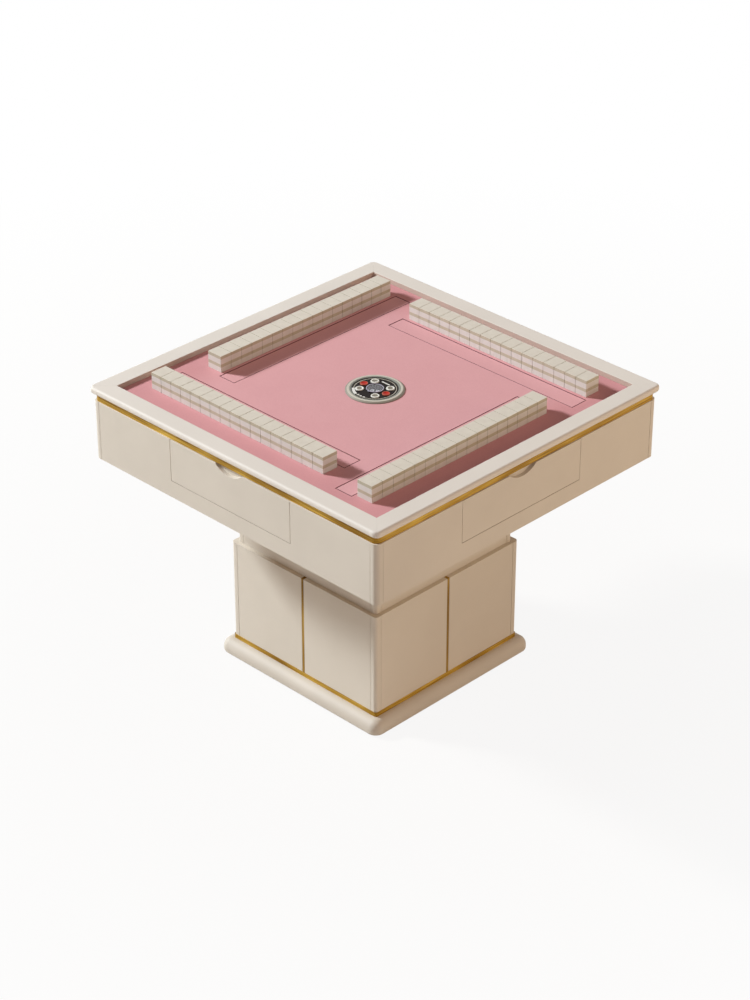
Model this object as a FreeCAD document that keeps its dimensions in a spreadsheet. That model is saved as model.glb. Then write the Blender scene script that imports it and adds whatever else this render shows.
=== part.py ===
import FreeCAD, Part
import math
import os
import types

import Sketcher

# Automatic mahjong table: millimetres, +Z up, origin on the floor under the middle of the plinth.
# The four sides carry the seats' names: south is -Y, east +X, north +Y and west -X.
SIDES = ("south", "east", "north", "west")
QUARTER = 90
FULL_TURN = 360

# Driving sizes, grouped by the piece that they belong to
SIZES = {
    # plinth and glides
    "glide_height": 3, "glide_radius": 20, "glide_inset": 71.5,
    "plinth_reach": 27, "plinth_height": 38.5, "plinth_corner_spare": 2,
    "plinth_top_radius": 24, "plinth_bottom_radius": 8,
    # pedestal
    "pedestal_span": 500, "pedestal_height": 283.5, "pedestal_thick": 18, "pedestal_round": 9,
    "strip_width": 8, "strip_setback": 0.5, "panel_seam": 0.8, "panel_arris": 0.4,
    "foot_band_height": 12, "foot_band_wall": 0.8, "foot_band_fit": 0.1, "foot_band_round": 6,
    "cap_thick": 18,
    # neck
    "neck_step": 11.5, "neck_height": 240, "neck_thick": 18, "neck_round": 9,
    # steel stand inside the pedestal and the neck
    "stand_plate_thick": 5, "stand_gap": 18.5, "stand_leg_inset": 30, "stand_leg_width": 40,
    "stand_leg_wall": 3, "cap_gap": 10,
    # apron box
    "rail_overhang": 7.5, "apron_height": 157.5, "apron_thick": 20, "apron_round": 14, "deck_thick": 8,
    # rail, gold band and the frame under them
    "rail_span": 970, "rail_width": 50, "rail_thick": 17.5, "rail_corner_radius": 16,
    "rail_edge_radius": 7, "rail_lip_radius": 1.5, "mitre_gap": 0.15,
    "band_inset": 3, "band_height": 20, "band_wall": 4, "band_round": 14, "frame_width": 52,
    # top board and felt
    "felt_drop": 13, "felt_thick": 2, "board_thick": 12, "board_gap": 0.5,
    # drawers
    "drawer_width": 403, "drawer_sill": 45, "drawer_seam": 1, "front_thick": 10, "grip_width": 90,
    "grip_depth": 17.5, "grip_backing_drop": 2.5, "tray_depth": 135, "tray_side": 12, "tray_end": 10,
    "tray_floor": 6, "tray_rise": 2, "tray_height": 78,
    "cheek_thick": 12, "cheek_gap": 1, "cheek_height": 130,
    "runner_thick": 8, "runner_height": 10, "runner_length": 112, "runner_setback": 5,
    "runner_rise": 38, "runner_fit": 0.3, "groove_depth": 7,
    # tile lifts
    "lift_start_gap": 43.5, "lift_end_gap": 223, "lift_width": 47.5, "lift_thick": 10, "lift_drop": 0.3,
    "lift_gap": 2.2, "lift_setback": 121.5, "rod_radius": 4, "rod_length": 96, "rod_inset": 101,
    "bush_wall": 3, "bush_length": 20, "bush_rise": 2, "rod_fit": 0.3,
    "channel_wall": 2, "channel_gap": 2.7, "channel_depth": 53, "channel_flange": 10,
    # shuffling bowl, disc and the console's guide
    "bowl_gap": 22.5, "bowl_wall": 3, "bowl_height": 127, "bowl_floor_rise": 33, "bowl_eye_radius": 24,
    "disc_gap": 5, "disc_thick": 4, "disc_slope": 16, "disc_seat": 0.4, "hub_radius": 30,
    "hub_height": 30, "rim_height": 14, "rim_width": 4,
    "fin_width": 6, "fin_start_gap": 30, "fin_end_gap": 48,
    "guide_wall": 3.6, "guide_height": 117, "guide_flange": 40, "guide_flange_thick": 6, "guide_fit": 0.4,
    # console
    "hole_radius": 66, "console_seat": 0.3, "ring_radius": 72, "ring_height": 4.2, "ring_edge": 1.4,
    "ring_bevel": 5, "ring_inner_radius": 56.5, "ring_inner_bevel": 2.5, "ring_inner_drop": 1.2,
    "face_thick": 2.6, "face_fit": 0.3, "housing_radius": 60, "housing_depth": 30, "housing_wall": 6,
    "housing_floor": 3, "column_radius": 17, "column_length": 137,
    "button_circle": 37, "white_radius": 10.5, "red_radius": 9.5, "button_rise": 2, "button_fit": 0.4,
    "button_flange": 1.5, "button_flange_thick": 1.5, "button_edge": 0.8, "button_seat": 0.3,
    "chamber_radius": 18.5, "chamber_wall": 2, "chamber_depth": 13, "chamber_floor": 2,
    "cover_radius": 21.5, "cover_height": 1.8, "cover_bevel": 0.8,
    "die_size": 8, "die_edge": 0.8, "die_spread": 13,
    # tiles
    "tile_width": 34, "tile_length": 45.5, "tile_thick": 21.8, "tile_pitch": 34.4, "tile_edge": 0.8,
    "tile_seat": 0.2, "row_setback": 65, "row_margin": 7.5,
    # drives and electronics
    "motor_length": 58, "motor_width": 40, "motor_height": 26, "motor_can_radius": 12,
    "motor_can_length": 36, "motor_gap": 20, "control_width": 90, "control_height": 55,
    "control_round": 6, "control_gap": 24,
}
LAYERS = 2
FINS = 6
# Two places this close count as one
TOUCH = 1e-4

doc = FreeCAD.newDocument("mahjong_table")
sheet = doc.addObject("Spreadsheet::Sheet", "sizes")
for row, (alias, size) in enumerate(SIZES.items(), start=1):
    sheet.set(f"A{row}", alias)
    sheet.set(f"B{row}", str(size))
    sheet.setAlias(f"B{row}", alias)
doc.recompute()


class Size:
    """A length of the table: its number, and the sheet formula that the document keeps for it."""

    def __init__(self, number, formula):
        self.number = number
        self.formula = formula

    def joined(self, other, sign, number):
        return Size(number, f"({self.formula} {sign} {as_size(other).formula})")

    def __add__(self, other):
        return self.joined(other, "+", self.number + as_size(other).number)

    def __sub__(self, other):
        return self.joined(other, "-", self.number - as_size(other).number)

    def __mul__(self, other):
        return self.joined(other, "*", self.number * as_size(other).number)

    def __truediv__(self, other):
        return self.joined(other, "/", self.number / as_size(other).number)

    def __neg__(self):
        return Size(-self.number, f"(0 - {self.formula})")


def as_size(entry):
    return entry if isinstance(entry, Size) else Size(float(entry), repr(entry))


mm = types.SimpleNamespace(**{alias: Size(float(sheet.get(alias)), f"sizes.{alias}") for alias in SIZES})
ZERO = as_size(0)

# Levels, from the floor up
plinth_foot = mm.glide_height
pedestal_foot = plinth_foot + mm.plinth_height
neck_foot = pedestal_foot + mm.pedestal_height
apron_foot = neck_foot + mm.neck_height
apron_top = apron_foot + mm.apron_height
rail_foot = apron_top + mm.band_height
rail_top = rail_foot + mm.rail_thick
felt_top = rail_top - mm.felt_drop
board_top = felt_top - mm.felt_thick
board_foot = board_top - mm.board_thick
deck_top = apron_foot + mm.deck_thick

# Half widths, from the middle of the table outwards
opening_half = mm.rail_span / 2 - mm.rail_width
board_half = opening_half - mm.board_gap
apron_half = mm.rail_span / 2 - mm.rail_overhang
apron_inside = apron_half - mm.apron_thick
pedestal_half = mm.pedestal_span / 2
neck_half = pedestal_half - mm.neck_step
neck_inside = neck_half - mm.neck_thick
stand_half = neck_inside - mm.stand_gap
leg_far = stand_half - mm.stand_leg_inset
lift_length = opening_half * 2 - mm.lift_start_gap - mm.lift_end_gap
lift_inside = opening_half - mm.lift_setback - mm.lift_width

nodes = {}


def hold(obj, prop, size):
    """Binds one property of an object to its formula."""
    obj.setExpression(prop, as_size(size).formula)


def place(obj, x, y, z):
    for axis, size in zip("xyz", (x, y, z)):
        hold(obj, f"Placement.Base.{axis}", size)


def node(name, obj):
    """Names a finished sub-part."""
    obj.Label = name
    nodes[name] = obj
    return obj


def block(name, low, high):
    """A board between two opposite corners."""
    obj = doc.addObject("Part::Box", name)
    for prop, start, end in zip(("Length", "Width", "Height"), low, high):
        hold(obj, prop, end - start)
    place(obj, *low)
    return obj


def rod(name, x, y, low, high, radius):
    """An upright round bar between two levels."""
    obj = doc.addObject("Part::Cylinder", name)
    hold(obj, "Radius", radius)
    hold(obj, "Height", high - low)
    place(obj, x, y, low)
    return obj


def cut(name, base, *tools):
    """The base less each of the tools."""
    for number, tool in enumerate(tools):
        obj = doc.addObject("Part::Cut", f"{name}_less_{number}")
        obj.Base = base
        obj.Tool = tool
        base = obj
    return base


def fuse(name, *pieces):
    obj = doc.addObject("Part::MultiFuse", name)
    obj.Shapes = list(pieces)
    return obj


def group(name, pieces, turn=0):
    """Separate solids side by side, turned about the table's axis by some degrees."""
    obj = doc.addObject("Part::Compound", name)
    obj.Links = list(pieces)
    obj.Placement = FreeCAD.Placement(FreeCAD.Vector(), FreeCAD.Rotation(FreeCAD.Vector(0, 0, 1), turn))
    return obj


def on_each_side(name, pieces):
    """One sub-part made of four quarter-turn copies."""
    return node(name, group(name, [group(f"{name}_{side}", pieces, QUARTER * turn)
                                   for turn, side in enumerate(SIDES)]))


def nodes_by_side(name, pieces):
    """Four sub-parts, one on each side, turned from the south one."""
    for turn, side in enumerate(SIDES):
        node(f"{name}_{side}", group(f"{name}_{side}", pieces, QUARTER * turn))


def new_body(name):
    return doc.addObject("PartDesign::Body", name)


def new_sketch(body, role, offset=ZERO):
    """An empty sketch on one of the body's planes, moved along that plane's normal."""
    sketch = body.newObject("Sketcher::SketchObject", f"{body.Name}_sketch")
    plane = next(item for item in body.Origin.OriginFeatures if item.Role == role)
    sketch.AttachmentSupport = [(plane, "")]
    sketch.MapMode = "FlatFace"
    hold(sketch, "AttachmentOffset.Base.z", offset)
    return sketch


def pin(sketch, geometry, end, corner):
    """Holds one point of a sketch to its two coordinates."""
    for kind, axis, size in zip(("DistanceX", "DistanceY"), (-2, -1), corner):
        size = as_size(size)
        if size is ZERO or size.number == 0:
            sketch.addConstraint(Sketcher.Constraint("PointOnObject", geometry, end, axis))
            continue
        row = sketch.addConstraint(Sketcher.Constraint(kind, -1, 1, geometry, end, size.number))
        hold(sketch, f"Constraints[{row}]", size)


def outline(sketch, corners):
    """Straight edges from corner to corner, closed."""
    first = sketch.GeometryCount
    spots = [FreeCAD.Vector(as_size(x).number, as_size(y).number, 0) for x, y in corners]
    for here, spot in enumerate(spots):
        sketch.addGeometry(Part.LineSegment(spot, spots[(here + 1) % len(spots)]), False)
    for here, corner in enumerate(corners):
        following = first + (here + 1) % len(corners)
        sketch.addConstraint(Sketcher.Constraint("Coincident", first + here, 2, following, 1))
        pin(sketch, first + here, 1, corner)


def rectangle(sketch, low, high):
    outline(sketch, [low, (high[0], low[1]), high, (low[0], high[1])])


def square(sketch, half):
    rectangle(sketch, (-half, -half), (half, half))


def circle(sketch, centre, radius):
    middle = FreeCAD.Vector(as_size(centre[0]).number, as_size(centre[1]).number, 0)
    upward = FreeCAD.Vector(0, 0, 1)
    index = sketch.addGeometry(Part.Circle(middle, upward, radius.number), False)
    pin(sketch, index, 3, centre)
    row = sketch.addConstraint(Sketcher.Constraint("Radius", index, radius.number))
    hold(sketch, f"Constraints[{row}]", radius)


def pad(body, sketch, length):
    feature = body.newObject("PartDesign::Pad", f"{body.Name}_pad")
    feature.Profile = sketch
    hold(feature, "Length", length)
    doc.recompute()
    return feature


def pocket(body, sketch, depth, forward=False):
    """Cuts against the sketch's normal, or along it, and makes sure that something was cut."""
    before = body.Shape.Volume
    feature = body.newObject("PartDesign::Pocket", f"{body.Name}_pocket")
    feature.Profile = sketch
    feature.Reversed = forward
    hold(feature, "Length", depth)
    doc.recompute()
    if body.Shape.Volume >= before:
        raise RuntimeError(f"the pocket in {body.Name} cuts nothing")
    return feature


def repeat(body, feature, sketch, copies):
    """Copies of a feature, evenly spaced about the table's axis."""
    pattern = body.newObject("PartDesign::PolarPattern", f"{body.Name}_pattern")
    pattern.Originals = [feature]
    pattern.Axis = (sketch, ["N_Axis"])
    pattern.Angle = FULL_TURN
    pattern.Occurrences = copies
    body.Tip = pattern
    doc.recompute()
    return pattern


def turned(name, corners):
    """A body of revolution about the table's axis, from radius and level pairs."""
    body = new_body(name)
    sketch = new_sketch(body, "XZ_Plane")
    outline(sketch, corners)
    feature = body.newObject("PartDesign::Revolution", f"{name}_revolution")
    feature.Profile = sketch
    feature.ReferenceAxis = (sketch, ["V_Axis"])
    feature.Angle = FULL_TURN
    doc.recompute()
    return body


def soften(body, kind, prop, size, chosen):
    """A fillet or a chamfer on the edges of the body that the test picks."""
    tip = body.Tip
    names = [f"Edge{number}" for number, edge in enumerate(tip.Shape.Edges, start=1) if chosen(edge)]
    feature = body.newObject(f"PartDesign::{kind}", f"{body.Name}_{kind}")
    feature.Base = (tip, names)
    hold(feature, prop, size)
    doc.recompute()
    return feature


def fillet(body, radius, chosen):
    return soften(body, "Fillet", "Radius", radius, chosen)


def reach(edge):
    """How far the middle of an edge's box lies from the axis, along X or Y."""
    centre = edge.BoundBox.Center
    return max(abs(centre.x), abs(centre.y))


def upright(edge):
    box = edge.BoundBox
    return box.XLength < TOUCH and box.YLength < TOUCH


def upright_beyond(size):
    return lambda edge: upright(edge) and reach(edge) > size.number - TOUCH


def level_at(size):
    level = size.number
    return lambda edge: max(abs(edge.BoundBox.ZMin - level), abs(edge.BoundBox.ZMax - level)) < TOUCH


def square_slab(name, half, low, high):
    """A square board centred on the table's axis."""
    body = new_body(name)
    sketch = new_sketch(body, "XY_Plane", low)
    square(sketch, half)
    pad(body, sketch, high - low)
    return body


def square_hole(body, half, low, high):
    sketch = new_sketch(body, "XY_Plane", high)
    square(sketch, half)
    return pocket(body, sketch, high - low)


def round_hole(body, centre, radius, low, high):
    sketch = new_sketch(body, "XY_Plane", high)
    circle(sketch, centre, radius)
    return sketch, pocket(body, sketch, high - low)


def rounded_slab(name, half, radius, low, high):
    body = square_slab(name, half, low, high)
    fillet(body, radius, upright)
    return body


def rounded_band(name, half, wall, radius, low, high):
    """A thin square hoop with concentric rounded corners."""
    outer = rounded_slab(f"{name}_outer", half, radius, low, high)
    inner = rounded_slab(f"{name}_inner", half - wall, radius - wall, low, high)
    return node(name, cut(name, outer, inner))


def ease_front(body, face):
    """Takes the sharp arris off the show face of a south panel, at the given distance from the middle."""
    level = -face.number
    soften(body, "Chamfer", "Size", mm.panel_arris,
           lambda edge: max(abs(edge.BoundBox.YMin - level), abs(edge.BoundBox.YMax - level)) < TOUCH)


def panel(name, left, right, low, high, inside, face):
    """A board on the south side, from its back face out to its show face."""
    body = new_body(name)
    sketch = new_sketch(body, "XZ_Plane", inside)
    rectangle(sketch, (left, low), (right, high))
    pad(body, sketch, face - inside)
    ease_front(body, face)
    return body


def corner_posts(name, half, thick, radius, low, high):
    """Four corner posts, each rounded on its outer edge."""
    body = new_body(f"{name}_post")
    sketch = new_sketch(body, "XY_Plane", low)
    rectangle(sketch, (half - thick, -half), (half, thick - half))
    pad(body, sketch, high - low)
    fillet(body, radius, lambda edge: upright(edge) and edge.BoundBox.XMin > half.number - TOUCH
           and edge.BoundBox.YMax < TOUCH - half.number)
    return on_each_side(name, [body])


# Plinth on its glides: one round-edged moulding on all four sides, mitred and eased at the corners
def make_plinth():
    half = pedestal_half + mm.plinth_reach
    corner = mm.plinth_top_radius + mm.plinth_corner_spare
    slab = rounded_slab("base_plinth", half, corner, plinth_foot, pedestal_foot)
    fillet(slab, mm.plinth_top_radius, level_at(pedestal_foot))
    fillet(slab, mm.plinth_bottom_radius, level_at(plinth_foot))
    node("base_plinth", slab)
    spot = half - mm.glide_inset
    on_each_side("foot_glides", [rod("glide", spot, -spot, ZERO, plinth_foot, mm.glide_radius)])


# Pedestal: two panels and a gold strip on each side, posts at the corners, a gold band at the foot
def make_pedestal():
    half = pedestal_half
    inside = half - mm.pedestal_thick
    end = inside - mm.panel_seam
    middle = mm.strip_width / 2
    on_each_side("pedestal_panels", [
        panel("panel_left", -end, -middle, pedestal_foot, neck_foot, inside, half),
        panel("panel_right", middle, end, pedestal_foot, neck_foot, inside, half),
    ])
    face = half - mm.strip_setback
    on_each_side("pedestal_strips", [
        block("strip", (-middle, -face, pedestal_foot), (middle, -inside, neck_foot)),
    ])
    corner_posts("pedestal_posts", half, mm.pedestal_thick, mm.pedestal_round, pedestal_foot, neck_foot)
    outer = half + mm.foot_band_fit + mm.foot_band_wall
    rounded_band("pedestal_band", outer, mm.foot_band_wall, mm.foot_band_round,
                 pedestal_foot, pedestal_foot + mm.foot_band_height)
    cap = square_slab("pedestal_cap", inside, neck_foot - mm.cap_thick, neck_foot)
    square_hole(cap, leg_far + mm.cap_gap, neck_foot - mm.cap_thick, neck_foot)
    node("pedestal_cap", cap)


# Neck: one panel on each side between posts
def make_neck():
    end = neck_inside - mm.panel_seam
    on_each_side("neck_panels", [
        panel("neck_panel", -end, end, neck_foot, apron_foot, neck_inside, neck_half),
    ])
    corner_posts("neck_posts", neck_half, mm.neck_thick, mm.neck_round, neck_foot, apron_foot)


# Steel stand: four tubes between two plates, welded
def make_stand():
    half = stand_half
    foot = pedestal_foot + mm.stand_plate_thick
    head = apron_foot - mm.stand_plate_thick
    far = leg_far
    near = far - mm.stand_leg_width
    core_near = near + mm.stand_leg_wall
    core_far = far - mm.stand_leg_wall
    leg = block("stand_leg", (near, -far, foot), (far, -near, head))
    core = block("stand_core", (core_near, -core_far, foot), (core_far, -core_near, head))
    tube = cut("stand_tube", leg, core)
    tubes = [group(f"stand_tube_{side}", [tube], QUARTER * turn) for turn, side in enumerate(SIDES)]
    low_plate = block("stand_low_plate", (-half, -half, pedestal_foot), (half, half, foot))
    high_plate = block("stand_high_plate", (-half, -half, head), (half, half, apron_foot))
    node("stand_frame", fuse("stand_frame", *tubes, low_plate, high_plate))


# Apron box: panels with the drawer openings, posts, and the deck that carries the machine
def make_apron():
    end = apron_inside - mm.panel_seam
    slot = mm.drawer_width / 2 + mm.drawer_seam
    sill = apron_foot + mm.drawer_sill
    body = new_body("apron_panel")
    sketch = new_sketch(body, "XZ_Plane", apron_inside)
    outline(sketch, [(-end, apron_foot), (end, apron_foot), (end, apron_top), (slot, apron_top),
                     (slot, sill), (-slot, sill), (-slot, apron_top), (-end, apron_top)])
    pad(body, sketch, mm.apron_thick)
    ease_front(body, apron_half)
    on_each_side("apron_panels", [body])
    corner_posts("apron_posts", apron_half, mm.apron_thick, mm.apron_round, apron_foot, apron_top)
    node("machine_deck", block("machine_deck", (-apron_inside, -apron_inside, apron_foot),
                               (apron_inside, apron_inside, deck_top)))


# Drawers: face with a finger cut-out, open tray with side grooves, cheeks and runners in the apron
def make_drawers():
    half = mm.drawer_width / 2
    face_inside = apron_half - mm.front_thick
    face_foot = apron_foot + mm.drawer_sill + mm.drawer_seam
    face_top = apron_top - mm.drawer_seam
    face = new_body("drawer_face")
    sketch = new_sketch(face, "XZ_Plane", face_inside)
    rectangle(sketch, (-half, face_foot), (half, face_top))
    pad(face, sketch, mm.front_thick)
    chord_half = mm.grip_width / 2
    grip_radius = (chord_half * chord_half / mm.grip_depth + mm.grip_depth) / 2
    grip = new_sketch(face, "XZ_Plane", face_inside)
    circle(grip, (ZERO, face_top - mm.grip_depth + grip_radius), grip_radius)
    pocket(face, grip, mm.front_thick, forward=True)
    ease_front(face, apron_half)
    nodes_by_side("drawer_face", [face])

    front = -face_inside
    back = front + mm.tray_depth
    tray_foot = apron_foot + mm.drawer_sill + mm.tray_rise
    tray_top = tray_foot + mm.tray_height
    wall_top = face_top - mm.grip_backing_drop
    shell = block("tray_shell", (-half, front, tray_foot), (half, back, tray_top))
    front_wall = block("tray_front", (-half, front, tray_foot), (half, front + mm.tray_end, wall_top))
    room = block("tray_room", (mm.tray_side - half, front + mm.tray_end, tray_foot + mm.tray_floor),
                 (half - mm.tray_side, back - mm.tray_end, tray_top))
    runner_foot = tray_foot + mm.runner_rise
    runner_top = runner_foot + mm.runner_height
    groove_foot = runner_foot - mm.runner_fit
    groove_top = runner_top + mm.runner_fit
    grooves = [block("tray_groove_left", (-half, front, groove_foot),
                     (mm.groove_depth - half, back, groove_top)),
               block("tray_groove_right", (half - mm.groove_depth, front, groove_foot),
                     (half, back, groove_top))]
    nodes_by_side("drawer_tray", [cut("tray", fuse("tray_walls", shell, front_wall), room, *grooves)])

    cheek = half + mm.drawer_seam + mm.cheek_gap
    cheek_back = cheek + mm.cheek_thick
    cheek_top = deck_top + mm.cheek_height
    cheek_front = -apron_inside
    on_each_side("drawer_cheeks", [
        block("cheek_left", (-cheek_back, cheek_front, deck_top), (-cheek, back, cheek_top)),
        block("cheek_right", (cheek, cheek_front, deck_top), (cheek_back, back, cheek_top)),
    ])
    tip = cheek - mm.runner_thick
    start = cheek_front + mm.runner_setback
    end = start + mm.runner_length
    on_each_side("drawer_runners", [
        block("runner_left", (-cheek, start, runner_foot), (-tip, end, runner_top)),
        block("runner_right", (tip, start, runner_foot), (cheek, end, runner_top)),
    ])


# Gold band and the frame behind it, which carries the board and the rails
def make_top_frame():
    band_half = apron_half - mm.band_inset
    rounded_band("rail_band", band_half, mm.band_wall, mm.band_round, apron_top, rail_foot)
    outer = band_half - mm.band_wall
    frame = rounded_slab("top_frame", outer, mm.band_round - mm.band_wall, apron_top, rail_foot)
    square_hole(frame, opening_half, board_foot, rail_foot)
    square_hole(frame, outer - mm.frame_width, apron_top, board_foot)
    node("top_frame", frame)


# Rails: a bullnosed hoop with rounded corners, mitred into four bars
def make_rails():
    half = mm.rail_span / 2
    body = square_slab("rail", half, rail_foot, rail_top)
    square_hole(body, opening_half, rail_foot, rail_top)
    fillet(body, mm.rail_corner_radius, upright_beyond(half))
    outside = (opening_half + half) / 2
    for level in (rail_top, rail_foot):
        at_level = level_at(level)
        fillet(body, mm.rail_edge_radius, lambda edge: at_level(edge) and reach(edge) > outside.number)
    tip = mm.mitre_gap * math.sqrt(0.5)
    mitre = new_sketch(body, "XY_Plane", rail_top)
    outline(mitre, [(ZERO, -tip), (-half, -half - tip), (-half - tip, half), (half + tip, half),
                    (half, -half - tip)])
    pocket(body, mitre, mm.rail_thick)
    top = level_at(rail_top)
    inner = opening_half.number
    fillet(body, mm.rail_lip_radius, lambda edge: top(edge) and edge.BoundBox.YLength < TOUCH
           and abs(edge.BoundBox.YMax + inner) < TOUCH)
    nodes_by_side("rail", [body])


# Board and felt, both with the four lift slots and the console's hole
def slotted_sheet(name, low, high):
    body = square_slab(name, board_half, low, high)
    slot = new_sketch(body, "XY_Plane", high)
    start, near = lift_corner(mm.lift_gap)
    rectangle(slot, (start, near), (start + lift_length + mm.lift_gap * 2,
                                    near + mm.lift_width + mm.lift_gap * 2))
    repeat(body, pocket(body, slot, high - low), slot, len(SIDES))
    round_hole(body, (ZERO, ZERO), mm.hole_radius, low, high)
    node(name, body)


def lift_corner(margin):
    """The west end and outer edge of the south lift plate, widened by a margin."""
    return mm.lift_start_gap - opening_half - margin, mm.lift_setback - opening_half - margin


def make_top():
    slotted_sheet("top_board", board_foot, board_top)
    slotted_sheet("felt_cloth", board_top, felt_top)


# Tile lifts: a plate on two rods, which run in bushes in a pressed channel under the board
def make_lifts():
    start, near = lift_corner(ZERO)
    end = start + lift_length
    far = near + mm.lift_width
    plate_top = felt_top - mm.lift_drop
    plate_foot = plate_top - mm.lift_thick
    line = (near + far) / 2
    spots = {"west": start + mm.rod_inset, "east": end - mm.rod_inset}
    plate = block("lift_board", (start, near, plate_foot), (end, far, plate_top))
    rods = [rod(f"lift_rod_{name}", spot, line, plate_foot - mm.rod_length, plate_foot, mm.rod_radius)
            for name, spot in spots.items()]
    nodes_by_side("lift_plate", [plate, *rods])

    bore = mm.rod_radius + mm.rod_fit
    sleeve = bore + mm.bush_wall
    channel_foot = board_foot - mm.channel_depth
    floor = channel_foot + mm.channel_wall
    bush_top = floor + mm.bush_rise
    bush_foot = bush_top - mm.bush_length
    on_each_side("lift_bushes", [
        cut(f"bush_{name}", rod(f"bush_sleeve_{name}", spot, line, bush_foot, bush_top, sleeve),
            rod(f"bush_bore_{name}", spot, line, bush_foot, bush_top, bore))
        for name, spot in spots.items()])

    room = mm.channel_gap
    wall = mm.channel_gap + mm.channel_wall
    lip = wall + mm.channel_flange
    trough = fuse(
        "channel_trough",
        block("channel_shell", (start - wall, near - wall, channel_foot),
              (end + wall, far + wall, board_foot)),
        block("channel_lip", (start - lip, near - lip, board_foot - mm.channel_wall),
              (end + lip, far + lip, board_foot)))
    inside = block("channel_room", (start - room, near - room, floor), (end + room, far + room, board_foot))
    holes = [rod(f"channel_hole_{name}", spot, line, channel_foot, floor, sleeve)
             for name, spot in spots.items()]
    on_each_side("lift_channels", [cut("channel", trough, inside, *holes)])


# Shuffling bowl and disc round the console's guide
def make_machine():
    bowl_radius = lift_inside - mm.channel_gap - mm.channel_wall - mm.bowl_gap
    wall = bowl_radius - mm.bowl_wall
    floor_foot = deck_top + mm.bowl_floor_rise
    floor_top = floor_foot + mm.bowl_wall
    rim = deck_top + mm.bowl_height
    node("shuffle_bowl", turned("shuffle_bowl", [
        (mm.bowl_eye_radius, floor_foot), (wall, floor_foot), (wall, deck_top), (bowl_radius, deck_top),
        (bowl_radius, rim), (wall, rim), (wall, floor_top), (mm.bowl_eye_radius, floor_top)]))

    bore = mm.column_radius + mm.guide_fit
    tube = bore + mm.guide_wall
    flange_top = deck_top + mm.guide_flange_thick
    guide_top = deck_top + mm.guide_height
    node("column_guide", turned("column_guide", [
        (bore, deck_top), (mm.guide_flange, deck_top), (mm.guide_flange, flange_top), (tube, flange_top),
        (tube, guide_top), (bore, guide_top)]))

    foot = floor_top + mm.disc_seat
    disc_radius = wall - mm.disc_gap
    lip = disc_radius - mm.rim_width
    web_top = foot + mm.disc_thick
    cone_top = web_top + mm.disc_slope
    hub_top = foot + mm.hub_height
    hub_bore = tube + mm.guide_fit
    disc = turned("shuffle_disc", [
        (hub_bore, foot), (disc_radius, foot), (disc_radius, foot + mm.rim_height),
        (lip, foot + mm.rim_height), (lip, web_top), (mm.hub_radius, cone_top), (mm.hub_radius, hub_top),
        (hub_bore, hub_top)])
    fin = new_sketch(disc, "XY_Plane", foot)
    rectangle(fin, (mm.hub_radius + mm.fin_start_gap, -mm.fin_width / 2),
              (lip - mm.fin_end_gap, mm.fin_width / 2))
    repeat(disc, pad(disc, fin, cone_top - foot), fin, FINS)
    node("shuffle_disc", disc)

    reach_out = mm.guide_flange + mm.motor_gap
    half = mm.motor_width / 2
    axis_level = deck_top + mm.motor_height / 2
    gearbox = block("gearbox", (reach_out, -half, deck_top),
                    (reach_out + mm.motor_length, half, deck_top + mm.motor_height))
    can = doc.addObject("Part::Cylinder", "motor_can")
    can.Placement.Rotation = FreeCAD.Rotation(FreeCAD.Vector(1, 0, 0), QUARTER)
    hold(can, "Radius", mm.motor_can_radius)
    hold(can, "Height", mm.motor_can_length)
    place(can, reach_out + mm.motor_length / 2, -half, axis_level)
    motor = fuse("gear_motor", gearbox, can)
    node("gear_motors", group("gear_motors", [group("disc_motor", [motor], QUARTER),
                                              group("lift_motor", [motor], -QUARTER)]))

    case = new_body("control_box")
    sketch = new_sketch(case, "XY_Plane", deck_top)
    far = apron_inside - mm.control_gap
    near = far - mm.control_width
    rectangle(sketch, (near, near), (far, far))
    pad(case, sketch, mm.control_height)
    fillet(case, mm.control_round, upright)
    node("control_box", case)


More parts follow.
